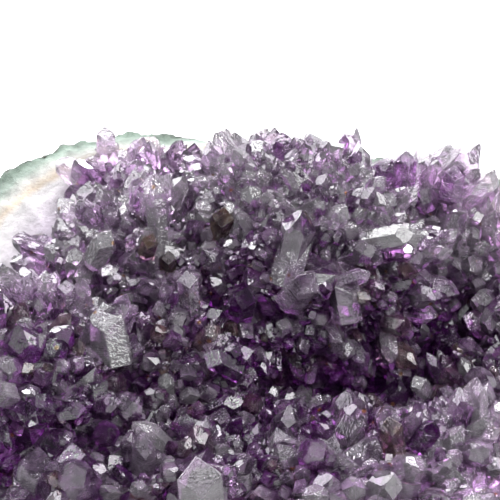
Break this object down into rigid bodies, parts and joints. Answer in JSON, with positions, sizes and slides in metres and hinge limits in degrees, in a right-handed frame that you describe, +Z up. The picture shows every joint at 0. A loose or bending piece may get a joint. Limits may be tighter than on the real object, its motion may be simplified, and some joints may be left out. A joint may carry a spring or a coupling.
{
  "type": "amethyst crystal cluster",
  "caption": "Cluster of grown-together purple quartz crystals on a broken piece of geode wall, sawn flat underneath so that it stands as a display specimen.",
  "frame": {"origin": "middle of the sawn base", "axes": "+Z up from the sawn base, +X to the right and +Y to the back, where the wall is highest"},
  "size_m": [0.1695, 0.1419, 0.08],
  "materials": {
    "rock": "rough broken rock with a green skin outside and pale bands in the break",
    "amethyst": "glossy flat crystal faces, clear purple with pale veils and darker depths"
  },
  "bodies": {
    "root": {"geode_wall": "rock", "amethyst_crust": "amethyst"}
  },
  "joints": []
}
